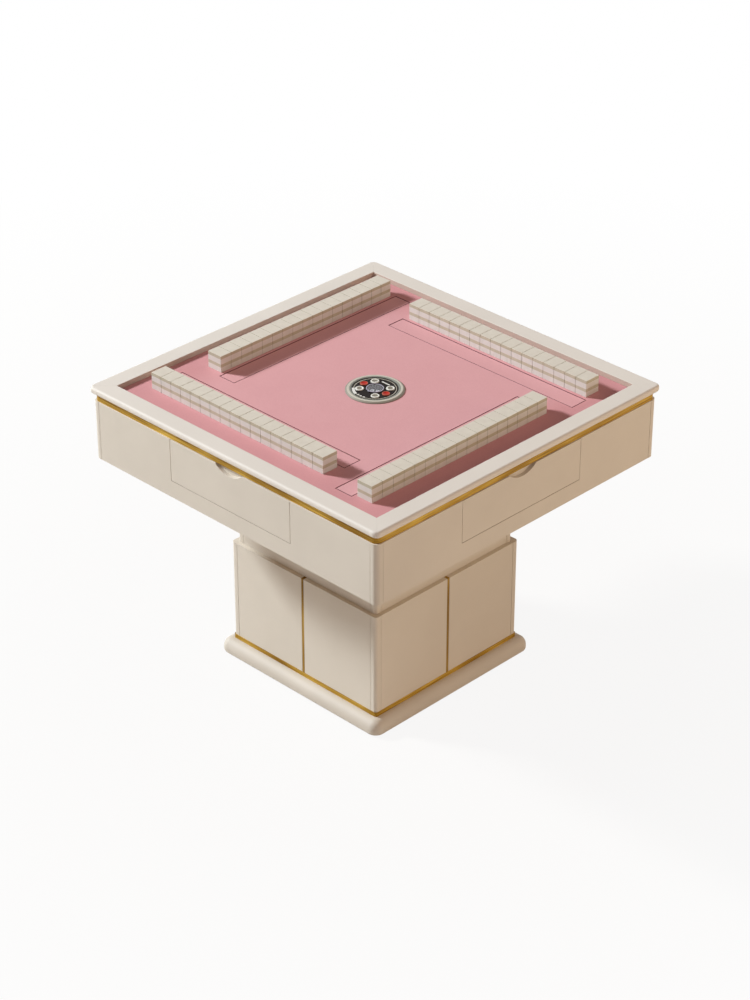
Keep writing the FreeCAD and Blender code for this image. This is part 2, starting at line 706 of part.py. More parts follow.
# Console: ring, face, housing and column rise together, buttons travel through the face
def make_console():
    foot = felt_top + mm.console_seat
    ring_top = foot + mm.ring_height
    node("console_ring", turned("console_ring", [
        (mm.ring_inner_radius, foot), (mm.ring_radius, foot), (mm.ring_radius, foot + mm.ring_edge),
        (mm.ring_radius - mm.ring_bevel, ring_top), (mm.ring_inner_radius + mm.ring_inner_bevel, ring_top),
        (mm.ring_inner_radius, ring_top - mm.ring_inner_drop)]))
    base = foot - mm.housing_depth
    wall = mm.housing_radius - mm.housing_wall
    floor = base + mm.housing_floor
    node("console_housing", turned("console_housing", [
        (ZERO, base), (mm.housing_radius, base), (mm.housing_radius, foot), (wall, foot), (wall, floor),
        (ZERO, floor)]))
    node("console_column", rod("console_column", ZERO, ZERO, base - mm.column_length, base, mm.column_radius))

    face_top = foot + mm.face_thick
    face = new_body("console_face")
    sketch = new_sketch(face, "XY_Plane", foot)
    circle(sketch, (ZERO, ZERO), mm.ring_inner_radius - mm.face_fit)
    pad(face, sketch, mm.face_thick)
    diagonal = mm.button_circle * math.sqrt(0.5)
    for spot, radius, copies in (((diagonal, diagonal), mm.white_radius, 4),
                                 ((mm.button_circle, ZERO), mm.red_radius, 2)):
        hole, drilled = round_hole(face, spot, radius + mm.button_fit, foot, face_top)
        repeat(face, drilled, hole, copies)
    chamber_foot = foot - mm.chamber_depth
    chamber = new_sketch(face, "XY_Plane", chamber_foot)
    circle(chamber, (ZERO, ZERO), mm.chamber_radius + mm.chamber_wall)
    pad(face, chamber, mm.chamber_depth)
    chamber_floor = chamber_foot + mm.chamber_floor
    round_hole(face, (ZERO, ZERO), mm.chamber_radius, chamber_floor, face_top)
    node("console_face", face)

    corners = {"ne": 45, "nw": 135, "sw": 225, "se": 315}
    white = make_button("white_cap", mm.white_radius, foot, face_top)
    for name, turn in corners.items():
        node(f"button_white_{name}", group(f"button_white_{name}", [white], turn))
    red = make_button("red_cap", mm.red_radius, foot, face_top)
    for name, turn in {"east": 0, "west": 180}.items():
        node(f"button_red_{name}", group(f"button_red_{name}", [red], turn))
    make_dice(chamber_floor, face_top)


def make_button(name, radius, face_foot, face_top):
    """A cap with a retaining flange under the face, on the +X side of the button circle."""
    body = new_body(name)
    flange_top = face_foot - mm.button_seat
    flange = new_sketch(body, "XY_Plane", flange_top - mm.button_flange_thick)
    circle(flange, (mm.button_circle, ZERO), radius + mm.button_flange)
    pad(body, flange, mm.button_flange_thick)
    cap = new_sketch(body, "XY_Plane", flange_top)
    circle(cap, (mm.button_circle, ZERO), radius)
    cap_top = face_top + mm.button_rise
    pad(body, cap, cap_top - flange_top)
    soften(body, "Chamfer", "Size", mm.button_edge, level_at(cap_top))
    return body


def make_dice(floor, face_top):
    """Two dice on the floor of the chamber, under a clear cover with a bevelled edge."""
    cover_top = face_top + mm.cover_height
    node("dice_cover", turned("dice_cover", [
        (ZERO, face_top), (mm.cover_radius, face_top), (mm.cover_radius, cover_top - mm.cover_bevel),
        (mm.cover_radius - mm.cover_bevel, cover_top), (ZERO, cover_top)]))

    die = new_body("die")
    half = mm.die_size / 2
    sketch = new_sketch(die, "XY_Plane", floor)
    rectangle(sketch, (mm.die_spread / 2 - half, -half), (mm.die_spread / 2 + half, half))
    pad(die, sketch, mm.die_size)
    soften(die, "Chamfer", "Size", mm.die_edge, upright)
    node("dice", group("dice", [group("die_one", [die], 30), group("die_two", [die], 210)]))


# Tiles: stacks in a wall on each side
def make_tiles():
    start = mm.lift_start_gap + mm.row_margin - opening_half
    near = mm.row_setback - opening_half
    stacks = int((lift_length.number - mm.row_margin.number) // mm.tile_pitch.number)
    foot = felt_top + mm.tile_seat
    tile = new_body("tile")
    sketch = new_sketch(tile, "XY_Plane", foot)
    rectangle(sketch, (start, near), (start + mm.tile_width, near + mm.tile_length))
    pad(tile, sketch, mm.tile_thick)
    soften(tile, "Chamfer", "Size", mm.tile_edge, upright)
    tiles = []
    for layer in range(LAYERS):
        for stack in range(stacks):
            copy = group(f"tile_{layer}_{stack}", [tile])
            place(copy, mm.tile_pitch * stack, ZERO, mm.tile_thick * layer)
            tiles.append(copy)
    nodes_by_side("tile_row", tiles)


for make in (make_plinth, make_pedestal, make_neck, make_stand, make_apron, make_drawers, make_top_frame,
             make_rails, make_top, make_lifts, make_machine, make_console, make_tiles):
    make()
doc.recompute()

# Nothing is written unless every object is sound
for obj in doc.Objects:
    if {"Invalid", "Error"} & set(obj.State):
        raise RuntimeError(f"{obj.Name} failed: {obj.State}")
for name, obj in nodes.items():
    if obj.Shape.isNull() or not obj.Shape.isValid():
        raise RuntimeError(f"{name} has no valid shape")

os.makedirs("parts", exist_ok=True)
for name, obj in nodes.items():
    obj.Shape.exportStep(os.path.join("parts", f"{name}.step"))
    print(f"{name}: {len(obj.Shape.Solids)} solids, {obj.Shape.Volume / 1000:.1f} cm3")
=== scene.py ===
# %% [markdown]
# # An automatic mahjong table in ivory lacquer
# The table stands on a square pedestal and plays on pink cloth inside a mitred rail. It has a drawer in
# each side, a console that rises from the middle, and four plates that lift the tile walls to the cloth.
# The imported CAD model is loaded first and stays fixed, so every new piece is placed by its boxes.

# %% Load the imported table
import math

import bmesh
import bpy
from mathutils import Matrix, Vector


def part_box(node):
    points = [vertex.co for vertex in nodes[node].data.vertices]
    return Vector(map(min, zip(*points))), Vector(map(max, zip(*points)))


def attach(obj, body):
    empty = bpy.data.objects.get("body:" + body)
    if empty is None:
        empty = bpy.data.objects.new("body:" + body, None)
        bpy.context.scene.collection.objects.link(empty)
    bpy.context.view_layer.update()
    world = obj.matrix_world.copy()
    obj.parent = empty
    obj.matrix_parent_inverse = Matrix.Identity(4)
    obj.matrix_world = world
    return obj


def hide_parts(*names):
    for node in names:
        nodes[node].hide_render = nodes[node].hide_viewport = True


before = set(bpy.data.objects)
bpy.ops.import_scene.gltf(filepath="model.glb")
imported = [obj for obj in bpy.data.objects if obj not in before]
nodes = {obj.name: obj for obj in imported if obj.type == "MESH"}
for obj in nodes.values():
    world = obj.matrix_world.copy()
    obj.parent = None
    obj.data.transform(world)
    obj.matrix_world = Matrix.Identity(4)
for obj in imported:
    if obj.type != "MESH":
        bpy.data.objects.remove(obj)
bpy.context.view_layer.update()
MM = 0.001
SIDES = ("south", "east", "north", "west")
bpy.ops.object.select_all(action="DESELECT")

# %% [markdown]
# ## Camera
# A product photo is taken from far off with a long lens, which keeps the table's edges nearly parallel.
# The view looks down on the corner between the south and east seats. Its angles, distance and lens were
# found by fitting the corners of the rail, the apron and the plinth, so the frame needs no shift.

# %% Place the camera
VIEW_AZIMUTH = math.radians(44.682)
VIEW_ELEVATION = math.radians(30.626)
VIEW_DISTANCE = 6.771
VIEW_LENS = 99.64
VIEW_TARGET = Vector((0, 0, 0.4407))


def direction(azimuth, elevation):
    """The way from the table to a spot, with azimuth 0 on the south side."""
    level = math.cos(elevation)
    return Vector((math.sin(azimuth) * level, -math.cos(azimuth) * level, math.sin(elevation)))


eye = VIEW_TARGET + direction(VIEW_AZIMUTH, VIEW_ELEVATION) * VIEW_DISTANCE
bpy.ops.object.camera_add(location=eye, rotation=(math.pi / 2 - VIEW_ELEVATION, 0, VIEW_AZIMUTH))
camera = bpy.context.object
camera.name = "product_camera"
camera.data.lens = VIEW_LENS
bpy.context.scene.camera = camera
bpy.context.scene.view_settings.view_transform = "Standard"
print("camera at", [round(v, 3) for v in camera.location])

# %% [markdown]
# ## Nodes and colours
# Every finish below is built from shader nodes. Colours are picked as sRGB hex values, as in a paint
# program, but shaders add up light, so one function turns them to linear. A second small function adds
# a node, gives it its settings and joins its inputs, which keeps each finish short enough to read.

# %% Helpers for finishes
WHITE = "FFFFFF"


def ink(code):
    """A linear colour from an sRGB hex value."""
    channels = [int(code[place:place + 2], 16) / 255 for place in (0, 2, 4)]
    return [c / 12.92 if c <= 0.04045 else ((c + 0.055) / 1.055) ** 2.4 for c in channels] + [1]


def add(tree, kind, feeds, stops=(), **settings):
    """Adds a node: feeds are its inputs, as numbers or as sockets, and stops the colours of a ramp."""
    made = tree.nodes.new(kind)
    for name, setting in settings.items():
        setattr(made, name, setting)
    for socket, source in feeds.items():
        if isinstance(source, bpy.types.NodeSocket):
            tree.links.new(source, made.inputs[socket])
        else:
            made.inputs[socket].default_value = source
    for index, (place, code) in enumerate(stops):
        steps = made.color_ramp.elements
        step = steps[index] if index < len(steps) else steps.new(place)
        step.position = place
        step.color = ink(code)
    return made


def finish(name, **constants):
    """A new material with constants on its shader: gives it, its tree, its shader and its coordinates."""
    material = bpy.data.materials.new(name)
    material.use_nodes = True
    tree = material.node_tree
    shader = tree.nodes["Principled BSDF"]
    for socket, setting in constants.items():
        shader.inputs[socket.replace("_", " ")].default_value = setting
    return material, tree, shader, add(tree, "ShaderNodeTexCoord", {}).outputs["Object"]


def per_mm(size):
    """The scale of a noise whose grains are about this many millimetres wide."""
    return 1 / (size * MM)


print("the middle grey 808080 is", round(ink("808080")[0], 3), "in linear light")

# %% [markdown]
# ## Studio
# The picture has a white ground and one clear lamp to the camera's left. The shaded sides are warm, so the
# sky turns from dark in the west to a warm glow in the east, and a low card on the right adds to it. To
# the camera, and in gloss and glass, floor and sky are white, but the floor keeps a little of the shadow.

# %% Floor
FLOOR_SIZE = 14
SHADOW_REACH = 1.5
SHADOW_SHARE = 0.1


def picture_ray(tree):
    """A socket that is 1 for what shows in the picture: seen directly, in gloss or through glass."""
    seen = add(tree, "ShaderNodeLightPath", {}).outputs
    mirror = add(tree, "ShaderNodeMath", {0: seen["Is Glossy Ray"], 1: seen["Is Transmission Ray"]},
                 operation="ADD")
    return add(tree, "ShaderNodeMath", {0: seen["Is Camera Ray"], 1: mirror.outputs[0]},
               operation="ADD", use_clamp=True).outputs[0]


bpy.ops.mesh.primitive_plane_add(size=FLOOR_SIZE, location=(0, 0, 0))
floor = bpy.context.object
floor.name = "studio_floor"
floor_paint, tree, shader, spot = finish("Pale studio floor", Base_Color=ink("D8CFC4"), Roughness=0.9)
far = add(tree, "ShaderNodeVectorMath", {0: spot}, operation="LENGTH")
veil = add(tree, "ShaderNodeMapRange", {
    "Value": far.outputs["Value"], "From Min": SHADOW_REACH / 2, "From Max": SHADOW_REACH * 2,
    "To Min": 1 - SHADOW_SHARE, "To Max": 1})
share = add(tree, "ShaderNodeMath", {0: picture_ray(tree), 1: veil.outputs[0]}, operation="MULTIPLY")
glare = add(tree, "ShaderNodeEmission", {"Color": ink(WHITE), "Strength": 1})
mixed = add(tree, "ShaderNodeMixShader",
            {"Fac": share.outputs[0], 1: shader.outputs[0], 2: glare.outputs[0]})
tree.links.new(mixed.outputs[0], tree.nodes["Material Output"].inputs["Surface"])
floor.data.materials.append(floor_paint)
print("floor:", FLOOR_SIZE, "m wide, share of the shadow kept:", SHADOW_SHARE)

# %% Sky and lamps
SKY_WEST = "4E5358"
SKY_EAST = "B59F94"
world = bpy.data.worlds.new("studio_sky")
bpy.context.scene.world = world
world.use_nodes = True
tree = world.node_tree
way = add(tree, "ShaderNodeSeparateXYZ", {0: add(tree, "ShaderNodeTexCoord", {}).outputs["Generated"]})
eastward = add(tree, "ShaderNodeMapRange", {"Value": way.outputs["X"], "From Min": -1})
glow = add(tree, "ShaderNodeValToRGB", {"Fac": eastward.outputs[0]}, stops=((0, SKY_WEST), (1, SKY_EAST)))
shown = add(tree, "ShaderNodeMix", {"Factor": picture_ray(tree), "A": glow.outputs[0], "B": ink(WHITE)},
            data_type="RGBA")
tree.links.new(shown.outputs["Result"], tree.nodes["Background"].inputs["Color"])


def lamp(name, azimuth, elevation, distance, size, power, code):
    """A square lamp that faces the middle of the table."""
    way = direction(math.radians(azimuth), math.radians(elevation))
    bpy.ops.object.light_add(type="AREA", location=VIEW_TARGET + way * distance,
                             rotation=way.to_track_quat("Z", "Y").to_euler())
    made = bpy.context.object
    made.name = name
    made.data.size = size
    made.data.energy = power
    made.data.color = ink(code)[:3]


lamp("window_lamp", azimuth=-63, elevation=33, distance=14, size=2, power=2420, code="F2FAFF")
lamp("warm_card", azimuth=120, elevation=10, distance=3.5, size=2.2, power=29, code="FFE6BE")

# %% [markdown]
# ## Ivory lacquer
# Panels, posts and plinth are fibreboard and the rails are beech, all sprayed with satin lacquer. A
# sprayed coat is even, but never perfectly flat or one colour: it has a faint orange peel and drifts a
# little in tone over a panel. Both come from noise, and the peel is drawn coarser than the real 1 mm so
# that it shows at all. Three coats differ in tone: the rail's is palest, and the plinth's is a little
# darker than the panels'. The rail's inner face alone is made deeper in tone, as painted shade.

# %% Lacquer
# Tint and depth of the painted shade on the rail's inner face.
INNER_FACE_SHADE_TINT = "E2D8D2"
INNER_FACE_SHADE_DEPTH = 0.5 * MM
rail_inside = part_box("rail_north")[0].y


def lacquer(name, pale, deep):
    """Satin lacquer: a soft broad highlight, with peel that breaks it up and a slow drift in tone."""
    material, tree, shader, spot = finish(name, Roughness=0.6, IOR=1.45)
    drift = add(tree, "ShaderNodeTexNoise", {"Vector": spot, "Scale": per_mm(160), "Detail": 3})
    tone = add(tree, "ShaderNodeValToRGB", {"Fac": drift.outputs[0]}, stops=((0.3, deep), (0.7, pale)))
    peel = add(tree, "ShaderNodeTexNoise", {"Vector": spot, "Scale": per_mm(3), "Detail": 2})
    bump = add(tree, "ShaderNodeBump", {"Height": peel.outputs[0], "Strength": 0.04, "Distance": 0.1 * MM})
    tree.links.new(tone.outputs[0], shader.inputs["Base Color"])
    tree.links.new(bump.outputs[0], shader.inputs["Normal"])
    return material, tree, shader, spot, tone


def outward(tree, spot):
    """A socket for how far a point lies from the table's middle, measured squarely."""
    ways = add(tree, "ShaderNodeVectorMath", {0: spot}, operation="ABSOLUTE")
    reach = add(tree, "ShaderNodeSeparateXYZ", {0: ways.outputs[0]})
    return add(tree, "ShaderNodeMath", {0: reach.outputs["X"], 1: reach.outputs["Y"]},
               operation="MAXIMUM").outputs[0]


def deepen(tree, shader, tone, zone, tint):
    """Deepens the tone of a finish by a tint where the zone is 1."""
    deeper = add(tree, "ShaderNodeMix", {"Factor": zone.outputs[0], "A": tone.outputs[0], "B": ink(tint)},
                 data_type="RGBA", blend_type="MULTIPLY")
    tree.links.new(deeper.outputs["Result"], shader.inputs["Base Color"])


ivory = lacquer("Ivory satin lacquer on fibreboard", "DDD4C6", "D8CFC1")[0]
# The plinth's coat is a little darker than the panels'.
plinth_ivory = lacquer("Darker ivory lacquer on the plinth", "D4CBBE", "CEC5B8")[0]
rail_ivory, tree, shader, spot, tone = lacquer("Pale ivory satin lacquer on beech", "E7DFD4", "E2DACF")
# Painted shade: the rail's inner face, next to the cloth, is made deeper in tone.
inner_face_shade = add(tree, "ShaderNodeMath", {0: outward(tree, spot), 1: rail_inside + INNER_FACE_SHADE_DEPTH},
             operation="LESS_THAN")
deepen(tree, shader, tone, inner_face_shade, INNER_FACE_SHADE_TINT)
print("rail opening:", round(2 * rail_inside / MM, 1), "mm")

# %% Lacquered nodes
def dress(material, *names):
    """Gives CAD nodes a finish, for all four sides where the name ends in an underscore."""
    for name in names:
        for full in ([name + side for side in SIDES] if name.endswith("_") else [name]):
            nodes[full].data.materials.clear()
            nodes[full].data.materials.append(material)


dress(plinth_ivory, "base_plinth")
dress(ivory, "pedestal_panels", "pedestal_posts", "pedestal_cap", "neck_panels", "neck_posts",
      "apron_panels", "apron_posts", "drawer_face_", "drawer_tray_")
dress(rail_ivory, "rail_")
print("lacquered nodes:", sum("ivory" in o.data.materials[0].name.lower() for o in nodes.values()))

# %% [markdown]
# ## Brushed gold trim
# The band under the rail, the foot band and the strips between the panels are thin metal under a gold
# coat, brushed along their length. Brushing leaves long fine scratches: noise squeezed across the run
# and drawn out along it gives them, and moves the roughness too. Broad patches are painted reflections:
# lighter and darker stretches, each about a hand wide, for what a thin band mirrors as it waves a little.
# The strips get darker tones than the bands: painted shade, for the shaded floor that they mirror.

# %% Gold
LONG_SCRATCH = per_mm(120)
FINE_SCRATCH = per_mm(1.5)
REFLECTION_SHARE = 0.35
TONE_PLACES = (0.38, 0.5, 0.62)
BAND_TONES = ("805A14", "B38A31", "DEB853")
# The strips' tones are darker than the band's: painted shade, for the shaded floor they mirror.
SHADED_STRIP_TONES = ("7A581E", "98742F", "B9964A")


def brushed_gold(name, squeeze, tones):
    """Gold-toned brushed metal: bright in the scratches and dark beside them."""
    material, tree, shader, spot = finish(name, Metallic=0.2, Specular_IOR_Level=0.1)
    run = add(tree, "ShaderNodeMapping", {"Vector": spot, "Scale": squeeze})
    scratch = add(tree, "ShaderNodeTexNoise", {"Vector": run.outputs[0], "Scale": 1, "Detail": 4})
    # Painted reflections: broad patches of lighter and darker tone.
    painted_reflection = add(tree, "ShaderNodeTexNoise", {"Vector": spot, "Scale": per_mm(130), "Detail": 1})
    both = add(tree, "ShaderNodeMix",
               {"Factor": REFLECTION_SHARE, "A": scratch.outputs[0], "B": painted_reflection.outputs[0]})
    tone = add(tree, "ShaderNodeValToRGB", {"Fac": both.outputs[0]}, stops=list(zip(TONE_PLACES, tones)))
    rough = add(tree, "ShaderNodeMapRange", {"Value": scratch.outputs[0], "To Min": 0.28, "To Max": 0.48})
    tree.links.new(tone.outputs[0], shader.inputs["Base Color"])
    tree.links.new(rough.outputs[0], shader.inputs["Roughness"])
    return material


dress(brushed_gold("Brushed gold band", (LONG_SCRATCH, LONG_SCRATCH, FINE_SCRATCH), BAND_TONES),
      "rail_band", "pedestal_band")
# The strips carry painted shade in their darker tones.
dress(brushed_gold("Brushed gold strip with painted shade", (FINE_SCRATCH, FINE_SCRATCH, LONG_SCRATCH), SHADED_STRIP_TONES),
      "pedestal_strips")
print("gold nodes:", sum("gold" in o.data.materials[0].name for o in nodes.values()))

# %% [markdown]
# ## Inner pieces
# The machine inside is seen only with a drawer out, the console up or the plates down, but it is still
# made of real stuff: chipboard, coated steel, bronze bushes, moulded plastic and rubber feet. One
# function is enough for these plain finishes, with the grain size of each given in millimetres.

# %% Plain finishes
def plain(name, pale, deep, grain, rough, depth, **constants):
    """A speckled finish: grain in millimetres, and how deep the grain is felt in the highlight."""
    material, tree, shader, spot = finish(name, Roughness=rough, **constants)
    speckle = add(tree, "ShaderNodeTexNoise", {"Vector": spot, "Scale": per_mm(grain), "Detail": 4})
    tone = add(tree, "ShaderNodeValToRGB", {"Fac": speckle.outputs[0]},
               stops=((0.35, deep), (0.65, pale)))
    bump = add(tree, "ShaderNodeBump",
               {"Height": speckle.outputs[0], "Strength": depth, "Distance": 0.2 * MM})
    tree.links.new(tone.outputs[0], shader.inputs["Base Color"])
    tree.links.new(bump.outputs[0], shader.inputs["Normal"])
    return material


# Pressed chips: a coarse, dull speckle.
board = plain("Raw chipboard", "C9AE86", "A88B62", grain=4, rough=0.75, depth=0.25)
# Baked powder: a fine even grain with a soft sheen.
steel = plain("Grey powder-coated steel", "6A6C6F", "5B5D60", grain=1.5, rough=0.5, depth=0.2)
# Pressed metal grains: a warm glint, broken up.
bronze = plain("Sintered bronze", "A5793F", "8A6230", grain=1, rough=0.45, depth=0.15, Metallic=1)
# A textured mould: dark and even, with a soft sheen.
moulded = plain("Grey moulded polypropylene", "54575C", "4A4D52", grain=2, rough=0.45, depth=0.1)
# Moulded rubber: black and dull.
rubber = plain("Black rubber", "2A2A2A", "1E1E1E", grain=1, rough=0.8, depth=0.2)
dress(board, "top_board", "top_frame", "machine_deck", "drawer_cheeks", "drawer_runners")
dress(steel, "stand_frame", "lift_channels", "column_guide", "console_column", "gear_motors")
dress(bronze, "lift_bushes")
dress(moulded, "shuffle_bowl", "shuffle_disc", "control_box", "console_housing")
dress(rubber, "foot_glides")
print("inner finishes:", [m.name for m in (board, steel, bronze, moulded, rubber)])

# %% [markdown]
# ## Playing cloth
# The cloth is short pink felt stretched over the board, with a slot for each lift plate and a round hole
# for the console. It is made as a slab of its real thickness, cut with a Boolean by the plates' own
# boxes, so the slots follow the CAD. The pile is far finer than a pixel and is drawn at 2 mm instead.
# Towards the rail the felt is made deeper in tone: painted shade at the border of the cloth.

# %% Felt finish
FELT_PALE = "E4ACAE"
FELT_DEEP = "DEA5A7"
# Tint and reach of the painted shade at the felt's border.
RIM_SHADE_TINT = "F3E8E8"
SHADE_START_REACH = 280 * MM
SHADE_FULL_REACH = 380 * MM
CLOUD_SHARE = 0.25


def felted(name, pale, deep):
    """Short felt: soft and dull, with a light bloom at the edges of the pile and no highlight."""
    material, tree, shader, spot = finish(name, Roughness=0.95, Specular_IOR_Level=0.05,
                                          Sheen_Weight=0.04, Sheen_Roughness=0.5)
    pile = add(tree, "ShaderNodeTexNoise", {"Vector": spot, "Scale": per_mm(2), "Detail": 3})
    cloud = add(tree, "ShaderNodeTexNoise", {"Vector": spot, "Scale": per_mm(70), "Detail": 2})
    both = add(tree, "ShaderNodeMix", {"Factor": CLOUD_SHARE, "A": pile.outputs[0], "B": cloud.outputs[0]})
    tone = add(tree, "ShaderNodeValToRGB", {"Fac": both.outputs[0]}, stops=((0.35, deep), (0.65, pale)))
    bump = add(tree, "ShaderNodeBump", {"Height": pile.outputs[0], "Strength": 0.12, "Distance": 0.3 * MM})
    tree.links.new(tone.outputs[0], shader.inputs["Base Color"])
    tree.links.new(bump.outputs[0], shader.inputs["Normal"])
    return material, tree, shader, spot, tone


# The felt's cut edges are dark: painted shade in the slots round the plates and the console.
gap_shade_felt = felted("Pink felt edge with painted gap shade", "93595E", "87525A")[0]
pink_felt, tree, shader, spot, tone = felted("Pink short-pile felt", FELT_PALE, FELT_DEEP)
# Painted shade: the felt deepens in tone from 280 mm out towards the rail.
painted_rim_shade = add(tree, "ShaderNodeMapRange",
           {"Value": outward(tree, spot), "From Min": SHADE_START_REACH, "From Max": SHADE_FULL_REACH})
deepen(tree, shader, tone, painted_rim_shade, RIM_SHADE_TINT)
# The felt is plain up to this reach; beyond it the painted shade begins.
print("felt is rubbed pale up to", round(SHADE_START_REACH / MM), "mm from the middle")

# %% Helpers for modelling
def add_slab(low, high):
    """A new box between two corners, with its place in its mesh."""
    bpy.ops.object.select_all(action="DESELECT")
    bpy.ops.mesh.primitive_cube_add(size=1, location=(low + high) / 2, scale=high - low)
    bpy.ops.object.transform_apply(location=True, rotation=True, scale=True)
    return bpy.context.object


def activate(piece):
    """Selects one piece alone and makes it the active one."""
    bpy.ops.object.select_all(action="DESELECT")
    piece.select_set(True)
    bpy.context.view_layer.objects.active = piece


def apply_modifier(piece, kind, **settings):
    """Adds one modifier to the piece and applies it."""
    activate(piece)
    bpy.ops.object.modifier_add(type=kind)
    modifier = piece.modifiers[-1]
    for name, setting in settings.items():
        setattr(modifier, name, setting)
    bpy.ops.object.modifier_apply(modifier=modifier.name)


def carve(piece, cutter):
    """Cuts one piece out of another and drops it."""
    apply_modifier(piece, "BOOLEAN", operation="DIFFERENCE", solver="EXACT", object=cutter)
    bpy.data.objects.remove(cutter)


def edit(piece):
    """Opens one piece for editing, with nothing selected in it."""
    activate(piece)
    bpy.ops.object.mode_set(mode="EDIT")
    bpy.ops.mesh.select_all(action="DESELECT")


def pick(piece, kind, test):
    """Selects the faces or edges of the edited piece that pass a test of their middle."""
    bpy.ops.mesh.select_mode(type=kind)
    bpy.ops.mesh.select_all(action="DESELECT")
    shape = bmesh.from_edit_mesh(piece.data)
    for part in shape.faces if kind == "FACE" else shape.edges:
        middle = sum((v.co for v in part.verts), Vector()) / len(part.verts)
        part.select_set(test(middle))
    bmesh.update_edit_mesh(piece.data)


def paint_picked(piece, material):
    """Gives the selected faces a finish of their own."""
    if material.name not in piece.data.materials:
        piece.data.materials.append(material)
    piece.active_material_index = piece.data.materials.find(material.name)
    bpy.ops.object.material_slot_assign()


# %% Cut the cloth
SLOT_GAP = 2.2 * MM
CUT_REACH = 11 * MM
HOLE_RADIUS = 66 * MM
HOLE_STEPS = 96
PILE_EDGE = 0.5 * MM
SHARP_ANGLE = math.radians(40)
cloth_low, cloth_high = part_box("felt_cloth")
cloth = add_slab(cloth_low, cloth_high)
cloth.name = "playing_cloth"
margin = Vector((SLOT_GAP, SLOT_GAP, CUT_REACH))
for side in SIDES:
    low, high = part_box("lift_plate_" + side)
    carve(cloth, add_slab(low - margin, high + margin))
bpy.ops.object.select_all(action="DESELECT")
bpy.ops.mesh.primitive_cylinder_add(vertices=HOLE_STEPS, radius=HOLE_RADIUS, depth=2 * CUT_REACH,
                                    location=(0, 0, cloth_high.z))
carve(cloth, bpy.context.object)
apply_modifier(cloth, "BEVEL", width=PILE_EDGE, segments=2, limit_method="ANGLE", angle_limit=SHARP_ANGLE)
cloth.data.materials.append(pink_felt)
edit(cloth)
# Faces below the felt's top, in the slots, get the dark edge: painted shade.
pick(cloth, "FACE", lambda middle: middle.z < cloth_high.z - PILE_EDGE / 10)
paint_picked(cloth, gap_shade_felt)
bpy.ops.object.mode_set(mode="OBJECT")
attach(cloth, "table")
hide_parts("felt_cloth")

# %% Felt on the lift plates
# A plate is steel with felt glued on its top, so the finish turns from steel to the felt's edge and then
# to its face with the height. The edge is made dark, as painted shade in the slot round the plate.
PLATE_STEEL = "63656A"
FELT_SIDE_SHADE = "7E4A50"
FELT_THICK = cloth_high.z - cloth_low.z
plate_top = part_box("lift_plate_south")[1].z
plate_felt, tree, shader, spot, tone = felted("Pink felt on a steel plate", FELT_PALE, FELT_DEEP)
height = add(tree, "ShaderNodeSeparateXYZ", {0: spot}).outputs["Z"]
on_felt = add(tree, "ShaderNodeMath", {0: height, 1: plate_top - FELT_THICK}, operation="GREATER_THAN")
on_face = add(tree, "ShaderNodeMath", {0: height, 1: plate_top - PILE_EDGE}, operation="GREATER_THAN")
pile = add(tree, "ShaderNodeMix",
           {"Factor": on_face.outputs[0], "A": ink(FELT_SIDE_SHADE), "B": tone.outputs[0]}, data_type="RGBA")
layers = add(tree, "ShaderNodeMix",
             {"Factor": on_felt.outputs[0], "A": ink(PLATE_STEEL), "B": pile.outputs["Result"]},
             data_type="RGBA")
tree.links.new(layers.outputs["Result"], shader.inputs["Base Color"])
dress(plate_felt, "lift_plate_")
print("felt starts", round((plate_top - FELT_THICK) / MM, 2), "mm above the floor")

# %% [markdown]
# ## Shade strips in the seams
# A thin dark strip lies on the sill below each drawer front: painted shade, for the fine dark line
# under the front. One strip with rounded edges is made on the south side, and copies of it are turned
# to all four.

# %% Strips on the sills
DRAWER_SEAM = 1 * MM
STRIP_THICK = 0.6 * MM
STRIP_DEPTH = 8 * MM
STRIP_ROUND = 0.2 * MM
# A dark strip, dull and brown with no highlight: painted shade in the seam.
seam_shade_finish = plain("Dark strip of painted seam shade", "988774", "887765", grain=2, rough=0.95, depth=0.1)


def round_edges(piece, width, steps):
    """Rounds every edge of a piece."""
    edit(piece)
    bpy.ops.mesh.select_all(action="SELECT")
    bpy.ops.mesh.bevel(offset=width, segments=steps, affect="EDGES")
    bpy.ops.object.mode_set(mode="OBJECT")


def copy_of(piece, name, move):
    """A copy with its own mesh, moved there by a matrix."""
    twin = piece.copy()
    twin.data = piece.data.copy()
    twin.data.transform(move)
    twin.name = name
    bpy.context.collection.objects.link(twin)
    return twin


def turn(degrees):
    """A turn round the upright axis through the table's middle."""
    return Matrix.Rotation(math.radians(degrees), 4, "Z")


front_low, front_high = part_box("drawer_face_south")
sill = front_low.z - DRAWER_SEAM
strip = add_slab(Vector((front_low.x, front_low.y, sill)),
                 Vector((front_high.x, front_low.y + STRIP_DEPTH, sill + STRIP_THICK)))
strip.data.materials.append(seam_shade_finish)
round_edges(strip, STRIP_ROUND, 2)
for count, side in enumerate(SIDES):
    turned = copy_of(strip, "seam_shade_strip_" + side, turn(90 * count))
    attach(turned, "table")
bpy.data.objects.remove(strip)
print("strips:", len(SIDES), "- length in mm:", round((front_high.x - front_low.x) / MM, 1))

# %% [markdown]
# ## Tiles
# A tile is a white melamine block with a coloured back, a good third of its thickness, and it lies face
# down, so the back is on top: beige above, and at its sides a darker olive copy of that beige, which is
# painted shade. One tile is enough: a box with rounded edges, sliced where the colours meet. It is copied
# into a wall of stacks two high, the copies are joined, and the wall is turned to all four sides.

